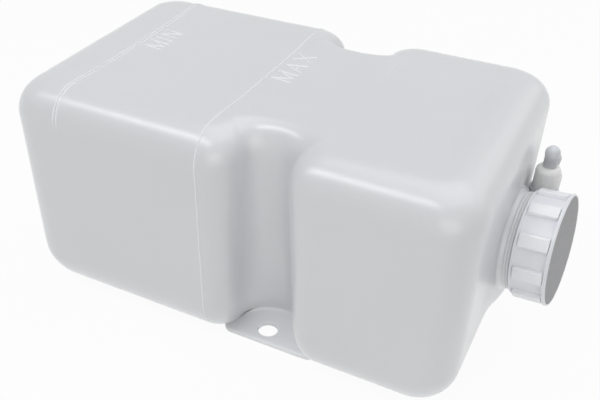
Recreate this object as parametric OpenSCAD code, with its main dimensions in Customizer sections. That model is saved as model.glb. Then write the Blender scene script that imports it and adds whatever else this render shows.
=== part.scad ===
// Blow-moulded water reservoir with a screw cap and two capped hose ports.
// It lies on its flat back face as on a bench: X runs along it to the filler neck,
// Y across it, Z up, and the origin is the middle of the face that it lies on.

/* [Tank] */
// Length of the moulded body along X, without the neck
tank_length = 270; // [240:1:320]
// Width of the moulded body along Y
tank_width = 165; // [150:1:200]
// Height of the moulded body along Z
tank_height = 143; // [130:1:180]
// Thickness of the moulded wall
wall = 2.8; // [2:0.1:4]
// Radius of the four upright corners
corner_radius = 20; // [14:0.5:28]
// Radius of the rounded edge round the upper face
top_edge_radius = 19; // [14:0.5:24]
// Radius of the rounded edge round the face that it lies on
bottom_edge_radius = 33; // [24:0.5:36]
// Depth that the middle of the upper face has sunk in cooling
top_sink = 1.4; // [0:0.1:3]

/* [Mounting channels] */
// Place along X of the two channels and their bolt lugs
channel_x = 22.5; // [12:0.5:35]
// Depth of a channel where it meets the lug
channel_depth_low = 42; // [34:0.5:46]
// Depth of a channel at the upper face
channel_depth_top = 24.5; // [16:0.5:34]
// Width of a channel where it meets the lug
channel_width_low = 41; // [36:0.5:50]
// Width of a channel at the upper face
channel_width_top = 27; // [26:0.5:40]
// Radius of the shoulders where a channel opens out of the wall
shoulder_radius = 16; // [8:0.5:18]
// Thickness of the pinched lugs
lug_thickness = 3.4; // [2.5:0.1:6]
// Height of the lugs above the face that the tank lies on
lug_rise = 0.4; // [0.2:0.1:1]
// Distance from the tank's side to the lug's free edge
lug_setback = 16; // [13:0.5:18]
// Place along X of the bolt holes
bolt_x = 18.5; // [14:0.5:28]
// Distance from the tank's side to the bolt hole's centre
bolt_inset = 26.5; // [25:0.5:30]
// Diameter of the bolt holes
bolt_hole = 12; // [8:0.5:13]

/* [Level ridges] */
// Place along X of the lower level ridge
low_level_x = -98; // [-108:1:-80]
// Place along X of the upper level ridge
high_level_x = -10; // [-30:1:-8]
// Width of a level ridge
ridge_width = 1.6; // [1.2:0.1:3]
// Height that a level ridge stands proud
ridge_height = 0.5; // [0.4:0.1:1.4]

/* [Filler neck] */
// Distance from the tank's back side to the neck's axis, on the end wall
neck_inset = 75.2; // [74.8:0.2:84]
// Height of the neck's axis on the end wall
neck_z = 71.8; // [68:0.2:78]
// Angle by which the neck rises away from the tank
neck_rise = 5.5; // [0:0.5:8]
// Angle by which the neck turns from the ports towards the front
neck_swing = 4; // [0:0.5:6]
// Outer diameter of the neck
neck_diameter = 50; // [46:0.5:52]
// Thickness of the neck's wall
neck_wall = 3.4; // [2.6:0.1:4.5]
// Length of the neck from the end wall to its mouth
neck_length = 25; // [22:0.5:30]
// Diameter of the swell where the neck leaves the end wall
swell_diameter = 61.4; // [58:0.2:61.8]
// Height of that swell
swell_height = 4; // [2:0.5:6]
// Diameter of the bead round the neck
bead_diameter = 54.4; // [53:0.2:57]
// Distance from the end wall to the bead
bead_offset = 7.2; // [6:0.2:8]

/* [Filler cap] */
// Diameter over the cap's grip ribs
cap_diameter = 62; // [60:0.5:68]
// Length of the cap along its axis
cap_length = 20; // [17:0.5:22]
// Thickness of the cap's end plate
cap_plate = 2.6; // [2:0.1:4]
// Height of a grip rib above the skirt
rib_height = 1.9; // [1:0.1:2.5]
// Width of a grip rib
rib_width = 7.8; // [5:0.2:12]
// Number of grip ribs
rib_count = 10; // [6:1:14]
// Running clearance between the neck and the cap's thread crests
cap_clearance = 0.5; // [0.3:0.1:1]
// Thickness of the sealing liner
seal_thickness = 2; // [1.5:0.1:3]
// Clearance on each face of the sealing liner
seal_gap = 0.2; // [0.1:0.1:0.4]

/* [Hose ports] */
// Distance from the tank's back side to the farther port
far_port_inset = 20.9; // [20.6:0.1:21.2]
// Distance between the two ports
port_spacing = 16.6; // [16.2:0.1:16.8]
// Height of the near port's stub, which enters the end wall
near_port_z = 71; // [66:0.5:76]
// Distance that the farther port stands lower than the near one
far_port_drop = 12.6; // [0:0.2:16]
// Distance from the end wall to the upright sockets' axis
port_reach = 9.4; // [9:0.1:14]
// Outer diameter of a socket
socket_diameter = 15.8; // [15:0.1:18]
// Height of a socket's rim above its stub's axis
socket_rise = 14.1; // [12:0.1:18]
// Outer diameter of the stub that enters the tank
stub_diameter = 8.4; // [7.6:0.2:8.8]
// Diameter of an adaptor's barrel
barrel_diameter = 14; // [13:0.1:15]
// Height of the barrel above the socket's rim
barrel_height = 13.6; // [10:0.2:18]
// Outer diameter of an adaptor's hose spigot
spigot_diameter = 6; // [5:0.1:6.4]
// Outer diameter of a dust cap
dust_cap_diameter = 8.4; // [8:0.1:10]
// Height of a dust cap above its barrel
dust_cap_height = 12.6; // [11:0.2:16]

/* [Hidden] */

$fn = 64;
natural = [0.87, 0.87, 0.85];
cap_white = [0.93, 0.94, 0.96];
seal_grey = [0.35, 0.36, 0.38];

half_length = tank_length / 2;
half_width = tank_width / 2;
end_x = half_length;

corner_steps = 4;
shoulder_steps = 3;
floor_steps = 8;
edge_steps = 4;

// Share of the edge rounding that a channel follows at the lower and the upper face
draw_low = 0.2;
draw_top = 0.7;
// Radius of a shoulder at its tightest, and how much the edge rounding takes from it
shoulder_least = 2.5;
shoulder_share = 0.3;
// How much the edge rounding takes from the upright corners' radius
corner_share = 0.5;

// Distance that a lug reaches past each side of its channel, and the radius of its corners
lug_overreach = 10;
lug_corner = 6;

neck_y = half_width - neck_inset;
neck_radius = neck_diameter / 2;
swell_radius = swell_diameter / 2;
bead_radius = bead_diameter / 2;
// Half the bead's length along the neck, and the size of its bevels
bead_half = 1;
bead_bevel = 0.5;
mouth_bevel = 1;
// Height of the hollow between the swell and the neck
swell_hollow = 1.4;

cap_face = neck_length + seal_gap * 2 + seal_thickness + cap_plate;
skirt_radius = cap_diameter / 2 - rib_height;
thread_height = 0.9;
cap_bore = neck_radius + cap_clearance + thread_height;
// Length of the cap's end rim, and how far a grip rib starts from the skirt's open edge
rim_length = 2.2;
rib_start = 1.4;
// Depth of a grip rib's foot in the skirt, and the radius of its edges
rib_foot = 1;
rib_round = 0.7;

// Depth that the foot of a level ridge's round face lies below the skin
ridge_sunk = 0.15;
// Share of the upper face that has sunk to its full depth
dish_share = 0.72;

grommet_hole = stub_diameter / 2 + 1.2;
grommet_lip = 1.3;
grommet_lip_radius = grommet_hole + 1;
grommet_bevel = 0.5;
// Gap between the end wall and the outer lip, so that both stay separate solids
grommet_gap = 0.1;
// Room between the wall and the inner lip, for the curve of the tank's corner
grommet_slack = 1.3;

far_port_y = half_width - far_port_inset;
near_port_y = far_port_y - port_spacing;
port_x = end_x + port_reach;
far_port_z = near_port_z - far_port_drop;
socket_depth = 7;
// Height and thickness of a socket's rim band
socket_band = 1.6;
socket_relief = 0.4;
// Distance that a socket reaches below its stub
socket_drop = 1;
// Distance that a stub reaches into the tank
stub_depth = 9;
elbow_bore = 2.6;
adaptor_bore = 2;
barrel_round = 3.4;
spigot_height = dust_cap_height - 3;
spigot_bevel = 0.5;
spigot_barb = 0.5;
dust_cap_bore = spigot_diameter / 2 + 0.6;
// Gap between a dust cap and its barrel
dust_cap_gap = 0.3;
// Height of a dust cap's swollen part, with its taper
dust_cap_swell = 0.8;
dust_cap_taper = 1.4;

// Mixes from a, where t is 0, to b, where t is 1
function mix(a, b, t) = a + (b - a) * t;

// Points of an arc about centre, from angle a0 to a1
function arc(centre, r, a0, a1, steps) =
    [for (i = [0:steps]) let (a = mix(a0, a1, i / steps)) centre + r * [cos(a), sin(a)]];

// One side of the plan outline with its channel, from left to right, for the front side.
// inset is how far the edge rounding has drawn the outline in, z the height, shell the wall's thickness.
function channel_points(inset, z, shell) =
    let (
        t = z / tank_height,
        draw = inset * mix(draw_low, draw_top, t) + shell,
        half = mix(channel_width_low, channel_width_top, t) / 2 + draw,
        depth = mix(channel_depth_low, channel_depth_top, t),
        r = max(shoulder_radius - inset * shoulder_share - shell, shoulder_least),
        face = -half_width + inset + shell,
        floor_y = -half_width + depth + draw,
        centre_y = max(floor_y - half, face + r),
        squash = (floor_y - centre_y) / half,
        left = arc([channel_x - half - r, face + r], r, -90, 0, shoulder_steps),
        swing = 180 / floor_steps,
        floor = [for (p = arc([0, 0], half, 180 - swing, swing, floor_steps - 2))
            [channel_x + p[0], centre_y + p[1] * squash]],
        right = arc([channel_x + half + r, face + r], r, 180, 270, shoulder_steps)
    ) concat(left, floor, right);

// Whole plan outline at one height, counter-clockwise from above
function outline(inset, z, shell) =
    let (
        hx = half_length - inset - shell,
        hy = half_width - inset - shell,
        r = max(corner_radius - inset * corner_share - shell, 2),
        front = channel_points(inset, z, shell),
        back = [for (i = [len(front) - 1:-1:0]) [front[i][0], -front[i][1]]]
    ) concat(
        arc([-hx + r, -hy + r], r, 180, 270, corner_steps),
        front,
        arc([hx - r, -hy + r], r, 270, 360, corner_steps),
        arc([hx - r, hy - r], r, 0, 90, corner_steps),
        back,
        arc([-hx + r, hy - r], r, 90, 180, corner_steps)
    );

// Levels of the skin as [inset, height], from the lower face to the upper one
function levels(shell) =
    let (
        rb = bottom_edge_radius - shell,
        rt = top_edge_radius - shell,
        mid = [[0, tank_height * 0.53]],
        low = [for (i = [0:edge_steps]) let (a = 90 * i / edge_steps)
            [rb * (1 - sin(a)), shell + rb * (1 - cos(a))]],
        top = [for (i = [0:edge_steps]) let (a = 90 * i / edge_steps)
            [rt * (1 - cos(a)), tank_height - shell - rt * (1 - sin(a))]]
    ) concat(low, mid, top);

// A closed skin lofted through the levels, with the upper face dished
module skin(shell) {
    rings = [for (lv = levels(shell)) [for (p = outline(lv[0], lv[1], shell)) [p[0], p[1], lv[1]]]];
    last = rings[len(rings) - 1];
    floor_ring = [for (p = last)
        [mix(channel_x, p[0], dish_share), p[1] * dish_share, tank_height - shell - top_sink]];
    all_rings = concat(rings, [floor_ring]);
    n = len(last);
    m = len(all_rings);
    points = [for (ring = all_rings) each ring];
    sides = [for (j = [0:m - 2]) for (i = [0:n - 1]) let (k = (i + 1) % n)
        each [[j * n + i, (j + 1) * n + i, (j + 1) * n + k], [j * n + i, (j + 1) * n + k, j * n + k]]];
    // Each end face is a strip across the tank, because point n - 1 - i mirrors point i
    under = [for (i = [0:n / 2 - 2]) each [[i, i + 1, n - 2 - i], [i, n - 2 - i, n - 1 - i]]];
    over = [for (face = under) [for (i = [2:-1:0]) (m - 1) * n + face[i]]];
    polyhedron(points, concat(under, sides, over), convexity = 8);
}

// Path of a level ridge over the skin in its plane, as [y, z], from the back edge to the
// front one, and on down the front where full is true
function ridge_path(full) =
    let (
        r = top_edge_radius,
        edge = half_width - r,
        dish = edge * dish_share,
        top_z = tank_height - r,
        over_back = [for (i = [1:edge_steps]) let (a = 90 * i / edge_steps)
            [edge + r * cos(a), top_z + r * sin(a)]],
        along = [[dish, tank_height - top_sink], [-dish, tank_height - top_sink], [-edge, tank_height]],
        over_front = [for (i = [1:edge_steps]) let (a = 90 + 90 * i / edge_steps)
            [-edge + r * cos(a), top_z + r * sin(a)]],
        rb = bottom_edge_radius,
        under = [for (i = [0:edge_steps / 2]) let (a = 90 * i / edge_steps)
            [-half_width + rb * (1 - cos(a)), rb * (1 - sin(a))]]
    ) concat(over_back, along, over_front, full ? under : []);

// Raised half-round ridge in the plane of x, sunk into the wall by half its thickness
module level_ridge(x, full) {
    path = ridge_path(full);
    m = len(path);
    function normal(i) =
        let (d = path[min(i + 1, m - 1)] - path[max(i - 1, 0)], l = norm(d)) [-d[1] / l, d[0] / l];
    section = [for (a = [0:36:180])
        [ridge_width / 2 * cos(a), mix(-ridge_sunk, ridge_height, sin(a))]];
    foot = concat(section, [[-ridge_width / 2, -wall / 2], [ridge_width / 2, -wall / 2]]);
    n = len(foot);
    points = [for (i = [0:m - 1]) let (v = normal(i)) for (s = foot)
        [x - s[0], path[i][0] - v[0] * s[1], path[i][1] - v[1] * s[1]]];
    sides = [for (j = [0:m - 2]) for (i = [0:n - 1]) let (k = (i + 1) % n)
        each [[j * n + i, j * n + k, (j + 1) * n + k], [j * n + i, (j + 1) * n + k, (j + 1) * n + i]]];
    ends = [[for (i = [n - 1:-1:0]) i], [for (i = [0:n - 1]) (m - 1) * n + i]];
    polyhedron(points, concat(sides, ends), convexity = 4);
}

// Places its children on the neck's axis at a distance from the end wall, with Z along it
module at_neck(distance) {
    translate([end_x, neck_y, neck_z]) rotate([0, 90 - neck_rise, -neck_swing])
        translate([0, 0, distance]) children();
}

// Outer profile of the neck, revolved about its axis
module neck_outside() {
    swell_foot = -wall * 3;
    rotate_extrude($fn = 96) polygon(concat(
        [[0, swell_foot], [swell_radius, swell_foot]],
        arc([swell_radius - swell_height, 0], swell_height, 0, 60, 4),
        [
            [neck_radius + swell_hollow, swell_height],
            [neck_radius + swell_hollow * 0.3, swell_height + swell_hollow * 0.3],
            [neck_radius, swell_height + swell_hollow],
            [neck_radius, bead_offset - bead_half],
            [bead_radius - bead_bevel, bead_offset - bead_half * 0.7],
            [bead_radius, bead_offset],
            [bead_radius - bead_bevel, bead_offset + bead_half * 0.7],
            [neck_radius, bead_offset + bead_half],
            [neck_radius, neck_length - mouth_bevel],
            [neck_radius - mouth_bevel, neck_length],
            [0, neck_length]
        ]
    ));
}

// Through bore of the neck
module neck_bore() {
    translate([0, 0, -wall * 4])
        cylinder(r = neck_radius - neck_wall, h = neck_length + wall * 4 + 1, $fn = 96);
}

// Pinched flat lug under one channel, side is -1 for the front one and 1 for the back one
module lug(side) {
    reach = half_width - lug_setback;
    root = half_width - channel_depth_low - bottom_edge_radius;
    half = channel_width_low / 2 + lug_overreach;
    y0 = side > 0 ? root : -reach;
    translate([channel_x - half, y0, lug_rise]) linear_extrude(lug_thickness)
        offset(r = lug_corner) offset(delta = -lug_corner) square([half * 2, reach - root]);
}

module tank_body() {
    color(natural) difference() {
        union() {
            skin(0);
            level_ridge(low_level_x, false);
            level_ridge(high_level_x, true);
            at_neck(0) neck_outside();
            lug(-1);
            lug(1);
        }
        skin(wall);
        at_neck(0) neck_bore();
        for (side = [-1, 1]) translate([bolt_x, side * (half_width - bolt_inset), -1])
            cylinder(d = bolt_hole, h = lug_rise + lug_thickness + 2);
        for (port = [[near_port_y, near_port_z], [far_port_y, far_port_z]])
            translate([end_x - wall * 3, port[0], port[1]]) rotate([0, 90, 0])
                cylinder(r = grommet_hole, h = wall * 5);
    }
}

// Turned profile of the rubber grommet in the end wall, round the stub
module port_grommet(y, z) {
    r = stub_diameter / 2;
    lip = grommet_lip_radius;
    inner = -wall - grommet_slack;
    color(seal_grey) translate([end_x, y, z]) rotate([0, 90, 0]) rotate_extrude() polygon([
        [r, inner - grommet_lip],
        [lip - grommet_bevel, inner - grommet_lip],
        [lip, inner - grommet_bevel],
        [lip, inner],
        [grommet_hole, inner],
        [grommet_hole, grommet_gap],
        [lip, grommet_gap],
        [lip, grommet_lip - grommet_bevel],
        [lip - grommet_bevel, grommet_lip],
        [r, grommet_lip]
    ]);
}

// Right-angled elbow: a stub into the tank and an upright socket
module port_elbow(y, z) {
    r = socket_diameter / 2;
    body = r - socket_relief;
    rim_z = z + socket_rise;
    floor_z = z - stub_diameter / 2 - socket_drop;
    height = rim_z - floor_z;
    color(natural) difference() {
        union() {
            translate([port_x, y, floor_z]) rotate_extrude() polygon([
                [0, 0], [body - 2, 0], [body - 0.5, 0.8], [body, 2.4],
                [body, height - socket_band - socket_relief],
                [r, height - socket_band],
                [r, height - 0.2], [r - 0.2, height], [0, height]
            ]);
            translate([end_x - stub_depth, y, z]) rotate([0, 90, 0])
                cylinder(d = stub_diameter, h = port_reach + stub_depth);
        }
        translate([port_x, y, rim_z - socket_depth]) cylinder(d = barrel_diameter, h = socket_depth + 1);
        translate([port_x, y, z]) cylinder(r = elbow_bore, h = socket_rise);
        translate([end_x - stub_depth - 1, y, z]) rotate([0, 90, 0])
            cylinder(r = elbow_bore, h = port_reach + stub_depth + 1);
    }
}

// Adaptor: a round-shouldered barrel that fills the socket, with a hose spigot on top
module hose_adaptor(y, z) {
    r = barrel_diameter / 2;
    s = spigot_diameter / 2;
    top = socket_depth + barrel_height;
    tip = top + spigot_height;
    color(natural) translate([port_x, y, z + socket_rise - socket_depth]) rotate_extrude() difference() {
        polygon(concat(
            [[0, 0], [r, 0], [r, top - barrel_round]],
            arc([r - barrel_round, top - barrel_round], barrel_round, 0, 90, 6),
            [
                [s, top], [s, top + 3], [s + spigot_barb, top + 3.6], [s, top + 6],
                [s, tip - spigot_bevel], [s - spigot_bevel, tip], [0, tip]
            ]
        ));
        translate([-1, -1]) square([adaptor_bore + 1, tip + 2]);
    }
}

// Closed thimble with a domed, slightly swollen tip
module dust_cap(y, z) {
    r = dust_cap_diameter / 2;
    top = dust_cap_height - dust_cap_gap;
    waist = r - dust_cap_gap;
    color(cap_white) translate([port_x, y, z + socket_rise + barrel_height + dust_cap_gap]) rotate_extrude()
        difference() {
            polygon(concat(
                [
                    [0, 0], [waist, 0],
                    [waist, top - r - dust_cap_swell - dust_cap_taper], [r, top - r - dust_cap_swell]
                ],
                arc([0, top - r], r, 0, 90, 8)
            ));
            translate([-1, -1]) square([dust_cap_bore + 1, spigot_height + 1.4]);
        }
}

// Screw cap: plate, skirt, end rim and grip ribs
module filler_cap() {
    r = skirt_radius;
    outer = r + rib_height;
    color(cap_white) at_neck(cap_face - cap_length) difference() {
        union() {
            rotate_extrude($fn = 96) polygon([
                [0, 0], [r - 0.6, 0], [r, 0.6],
                [r, cap_length - rim_length - 0.4],
                [outer - 0.4, cap_length - rim_length],
                [outer, cap_length - rim_length + 0.6],
                [outer - 0.8, cap_length - 0.2],
                [outer - 1.4, cap_length], [0, cap_length]
            ]);
            for (i = [0:rib_count - 1]) rotate([0, 0, (i + 0.5) * 360 / rib_count])
                translate([r - rib_foot, -rib_width / 2, rib_start]) grip_rib();
        }
        translate([0, 0, -1]) cylinder(r = cap_bore, h = cap_length - cap_plate + 1, $fn = 96);
    }
}

// One grip rib, with rounded outer corners
module grip_rib() {
    h = rib_height + rib_foot;
    c = rib_round;
    linear_extrude(cap_length - rib_start - rim_length) polygon([
        [0, 0], [h - c, 0], [h - c * 0.3, c * 0.3], [h, c],
        [h, rib_width - c], [h - c * 0.3, rib_width - c * 0.3], [h - c, rib_width], [0, rib_width]
    ]);
}

// Sealing liner, against the neck's mouth and inside the cap
module cap_seal() {
    color(seal_grey) at_neck(neck_length + seal_gap)
        cylinder(r = cap_bore - seal_gap, h = seal_thickness, $fn = 96);
}

tank_body();
filler_cap();
cap_seal();
port_grommet(near_port_y, near_port_z);  // port_grommet_near
port_elbow(near_port_y, near_port_z);  // port_elbow_near
hose_adaptor(near_port_y, near_port_z);  // hose_adaptor_near
dust_cap(near_port_y, near_port_z);  // dust_cap_near
port_grommet(far_port_y, far_port_z);  // port_grommet_far
port_elbow(far_port_y, far_port_z);  // port_elbow_far
hose_adaptor(far_port_y, far_port_z);  // hose_adaptor_far
dust_cap(far_port_y, far_port_z);  // dust_cap_far
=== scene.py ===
"""Looks of the water reservoir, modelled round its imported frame. All sizes are metres, Z is up."""

from __future__ import annotations

import logging
import math
from collections.abc import Iterable
from dataclasses import dataclass, field, replace
from enum import Enum

import bmesh
import bpy
from bmesh.types import BMEdge, BMesh, BMVert
from mathutils import Euler, Matrix, Vector
from mathutils.bvhtree import BVHTree


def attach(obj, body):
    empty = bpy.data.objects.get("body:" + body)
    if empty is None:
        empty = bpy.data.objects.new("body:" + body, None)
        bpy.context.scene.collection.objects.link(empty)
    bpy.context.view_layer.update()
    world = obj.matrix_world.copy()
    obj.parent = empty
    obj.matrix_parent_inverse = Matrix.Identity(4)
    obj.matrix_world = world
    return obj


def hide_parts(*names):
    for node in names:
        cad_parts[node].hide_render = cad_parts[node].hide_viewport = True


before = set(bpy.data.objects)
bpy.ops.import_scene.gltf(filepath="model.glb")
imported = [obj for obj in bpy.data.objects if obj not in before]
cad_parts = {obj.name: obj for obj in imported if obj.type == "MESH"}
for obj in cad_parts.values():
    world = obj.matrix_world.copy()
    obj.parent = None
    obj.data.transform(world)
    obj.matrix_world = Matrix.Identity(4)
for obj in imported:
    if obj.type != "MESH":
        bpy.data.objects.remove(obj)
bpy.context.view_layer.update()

log = logging.getLogger("reservoir")

MM = 0.001
PLASTIC_IOR = 1.5
SCATTER_RADIUS = (1.0, 0.97, 0.93)
GLOSS_SWING = 0.05
RAY_START = 0.2
SECTION_SIDES = 12

Point = tuple[float, float]
Colour = tuple[float, float, float]
Place = tuple[float, float, float]


class Body(Enum):
    """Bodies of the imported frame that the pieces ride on."""

    TANK = "tank"
    CAP = "cap"
    NEAR_DUST_CAP = "near_dust_cap"
    FAR_DUST_CAP = "far_dust_cap"


class Slot(Enum):
    """The record's material slots; the port pieces list theirs, but no piece is given one."""

    TANK = "tank_plastic"
    PORT = "port_plastic"
    CAP = "cap_plastic"
    DUST_CAP = "dust_cap_plastic"


class Side(Enum):
    """The two long sides of the tank, as the sign of their Y."""

    FRONT = -1
    BACK = 1


# Finishes


@dataclass(frozen=True)
class MouldedPlastic:
    """A moulded plastic or rubber, with drifting colour, a fine skin texture and light inside it."""

    name: str
    colour: Colour
    drift: Colour
    drift_size: float
    roughness: float
    skin_size: float
    skin_depth: float
    scatter: float = 0.0
    scatter_depth: float = 0.0
    wave_size: float = 0.0
    wave_depth: float = 0.0
    clearness: float = 0.0
    coat: float = 0.0
    coat_roughness: float = 0.4

    def material(self) -> bpy.types.Material:
        """Builds the node material.

        Returns:
            The finished material, or the one that an earlier piece made.
        """
        made = bpy.data.materials.get(self.name)
        if made:
            return made
        mat = bpy.data.materials.new(self.name)
        mat.use_nodes = True
        tree = mat.node_tree
        nodes = tree.nodes
        links = tree.links
        shader = nodes["Principled BSDF"]
        place = nodes.new("ShaderNodeTexCoord").outputs["Object"]

        cloud = self._noise(tree, place, self.drift_size, 3.0)
        mix = nodes.new("ShaderNodeMix")
        mix.data_type = "RGBA"
        mix.inputs["A"].default_value = (*self.colour, 1.0)
        mix.inputs["B"].default_value = (*self.drift, 1.0)
        links.new(cloud, mix.inputs["Factor"])
        links.new(mix.outputs["Result"], shader.inputs["Base Color"])

        skin = self._noise(tree, place, self.skin_size, 4.0)
        gloss = nodes.new("ShaderNodeMapRange")
        gloss.inputs["From Min"].default_value = 0.3
        gloss.inputs["From Max"].default_value = 0.7
        gloss.inputs["To Min"].default_value = self.roughness - GLOSS_SWING
        gloss.inputs["To Max"].default_value = self.roughness + GLOSS_SWING
        links.new(self._noise(tree, place, self.skin_size * 3, 2.0), gloss.inputs["Value"])
        links.new(gloss.outputs["Result"], shader.inputs["Roughness"])

        bump = nodes.new("ShaderNodeBump")
        bump.inputs["Distance"].default_value = self.skin_depth
        links.new(skin, bump.inputs["Height"])
        if self.wave_depth:
            wave = self._noise(tree, place, self.wave_size, 1.0)
            sway = nodes.new("ShaderNodeBump")
            sway.inputs["Distance"].default_value = self.wave_depth
            links.new(wave, sway.inputs["Height"])
            links.new(sway.outputs["Normal"], bump.inputs["Normal"])
        links.new(bump.outputs["Normal"], shader.inputs["Normal"])

        shader.inputs["Subsurface Weight"].default_value = self.scatter
        shader.inputs["Subsurface Scale"].default_value = self.scatter_depth
        shader.inputs["Subsurface Radius"].default_value = SCATTER_RADIUS
        shader.inputs["Transmission Weight"].default_value = self.clearness
        shader.inputs["IOR"].default_value = PLASTIC_IOR
        shader.inputs["Coat Weight"].default_value = self.coat
        shader.inputs["Coat Roughness"].default_value = self.coat_roughness
        return mat

    @staticmethod
    def _noise(
        tree: bpy.types.NodeTree, place: bpy.types.NodeSocket, size: float, detail: float
    ) -> bpy.types.NodeSocket:
        """Adds a noise whose patches measure about size.

        Args:
            tree: The material's node tree.
            place: Object coordinates.
            size: Size of a patch in metres.
            detail: Octaves of the noise.

        Returns:
            The noise's value socket.
        """
        noise = tree.nodes.new("ShaderNodeTexNoise")
        noise.inputs["Scale"].default_value = 1.0 / size
        noise.inputs["Detail"].default_value = detail
        tree.links.new(place, noise.inputs["Vector"])
        return noise.outputs["Fac"]


NATURAL = MouldedPlastic(
    "natural_polyethylene",
    colour=(0.755, 0.765, 0.78),
    drift=(0.725, 0.735, 0.75),
    drift_size=60 * MM,
    roughness=0.34,
    skin_size=1.6 * MM,
    skin_depth=0.004 * MM,
    scatter=0.25,
    scatter_depth=1.2 * MM,
    wave_size=38 * MM,
    wave_depth=0.16 * MM,
    coat=1.0,
    coat_roughness=0.33,
)
# Painted light: the raised level lines and words take this near-white colour as a painted highlight, and the
# bolt lugs with their fillets take it as painted light where the channel's shade falls on them.
RAISED_PAINTED_LIGHT = MouldedPlastic(
    "raised_polyethylene_painted_light",
    colour=(0.95, 0.96, 0.97),
    drift=(0.91, 0.92, 0.935),
    drift_size=6 * MM,
    roughness=0.2,
    skin_size=0.8 * MM,
    skin_depth=0.004 * MM,
)
PORT_IVORY = MouldedPlastic(
    "ivory_nylon",
    colour=(0.94, 0.935, 0.915),
    drift=(0.91, 0.90, 0.88),
    drift_size=9 * MM,
    roughness=0.24,
    skin_size=0.5 * MM,
    skin_depth=0.008 * MM,
    scatter=0.5,
    scatter_depth=1.5 * MM,
)
CAP_WHITE = MouldedPlastic(
    "white_polypropylene",
    colour=(0.87, 0.88, 0.91),
    drift=(0.84, 0.855, 0.89),
    drift_size=14 * MM,
    roughness=0.34,
    skin_size=0.45 * MM,
    skin_depth=0.012 * MM,
    scatter=0.15,
    scatter_depth=1 * MM,
)
# Painted light: the grip ribs take a lighter copy of the cap's white, a painted highlight on the ribs against
# the skirt between them.
CAP_RIB_PAINTED_LIGHT = MouldedPlastic(
    "cap_rib_painted_light",
    colour=(0.95, 0.96, 0.98),
    drift=(0.92, 0.93, 0.955),
    drift_size=8 * MM,
    roughness=0.2,
    skin_size=0.45 * MM,
    skin_depth=0.008 * MM,
)
# Painted shade: the cap's flat end face, which turns away from the lamps, takes this dark grey as painted
# shade.
CAP_FACE_PAINTED_SHADE = MouldedPlastic(
    "cap_face_painted_shade",
    colour=(0.26, 0.26, 0.27),
    drift=(0.22, 0.22, 0.23),
    drift_size=7 * MM,
    roughness=0.42,
    skin_size=0.5 * MM,
    skin_depth=0.03 * MM,
)
DUST_CAP_CLEAR = MouldedPlastic(
    "milky_vinyl",
    colour=(0.84, 0.86, 0.91),
    drift=(0.79, 0.82, 0.88),
    drift_size=5 * MM,
    roughness=0.2,
    skin_size=0.4 * MM,
    skin_depth=0.008 * MM,
    scatter=0.7,
    scatter_depth=2 * MM,
    clearness=0.08,
)
SEAL_RUBBER = MouldedPlastic(
    "dark_rubber",
    colour=(0.035, 0.036, 0.038),
    drift=(0.05, 0.05, 0.052),
    drift_size=4 * MM,
    roughness=0.6,
    skin_size=0.3 * MM,
    skin_depth=0.02 * MM,
)


# Mesh tools shared by the sub-assemblies


def mix(a: float, b: float, t: float) -> float:
    """Mixes from a, where t is 0, to b, where t is 1."""
    return a + (b - a) * t


def smoothstep(t: float) -> float:
    """Eases from 0 to 1 with level ends, and stays at them outside."""
    t = min(max(t, 0.0), 1.0)
    return t * t * (3 - 2 * t)


def arc(centre: Point, radius: float, start: float, end: float, steps: int) -> list[Point]:
    """Points of an arc.

    Args:
        centre: Centre of the arc.
        radius: Its radius.
        start: First angle in degrees.
        end: Last angle in degrees.
        steps: Number of stretches.

    Returns:
        The steps + 1 points.
    """
    angles = (math.radians(mix(start, end, i / steps)) for i in range(steps + 1))
    return [(centre[0] + radius * math.cos(a), centre[1] + radius * math.sin(a)) for a in angles]


def run(a: Point, b: Point, steps: int) -> list[Point]:
    """Points between a and b, without a and b themselves."""
    return [(mix(a[0], b[0], i / steps), mix(a[1], b[1], i / steps)) for i in range(1, steps)]


def wire(bm: BMesh, points: list[Point], closed: bool) -> list[BMVert | BMEdge]:
    """Draws (radius, height) points as a line of edges in the XZ plane."""
    verts = [bm.verts.new((r, 0, z)) for r, z in points]
    return verts + [bm.edges.new(pair) for pair in zip(verts, verts[1:] + verts[: int(closed)])]


def shift(bm: BMesh, by: Iterable[float]) -> None:
    """Moves a whole mesh."""
    bmesh.ops.translate(bm, verts=bm.verts[:], vec=by)


def turn(bm: BMesh, by: Matrix) -> None:
    """Turns a whole mesh about the origin."""
    bmesh.ops.rotate(bm, verts=bm.verts[:], cent=(0, 0, 0), matrix=by)


def added(name: str, data: bpy.types.ID) -> bpy.types.Object:
    """Adds an object to the scene."""
    obj = bpy.data.objects.new(name, data)
    bpy.context.scene.collection.objects.link(obj)
    return obj


def as_mesh(name: str, bm: BMesh) -> bpy.types.Mesh:
    """Keeps a bmesh as a mesh, and frees it."""
    mesh = bpy.data.meshes.new(name)
    bm.to_mesh(mesh)
    bm.free()
    return mesh


def revolve(profile: list[Point], steps: int = 96) -> BMesh:
    """Turns a closed profile about Z.

    Args:
        profile: Corners as (radius, height), in order. A corner on the axis closes a pole.
        steps: Number of facets round the axis.

    Returns:
        A closed mesh whose faces point outwards.
    """
    bm = bmesh.new()
    geom = wire(bm, profile, min(profile[0][0], profile[-1][0]) > 0)
    bmesh.ops.spin(bm, geom=geom, cent=(0, 0, 0), axis=(0, 0, 1), angle=math.tau, steps=steps, use_merge=True)
    close(bm)
    return bm


def close(bm: BMesh) -> None:
    """Merges doubled vertices and turns the faces outwards."""
    bmesh.ops.remove_doubles(bm, verts=bm.verts[:], dist=1e-6)
    bmesh.ops.recalc_face_normals(bm, faces=bm.faces[:])


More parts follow.
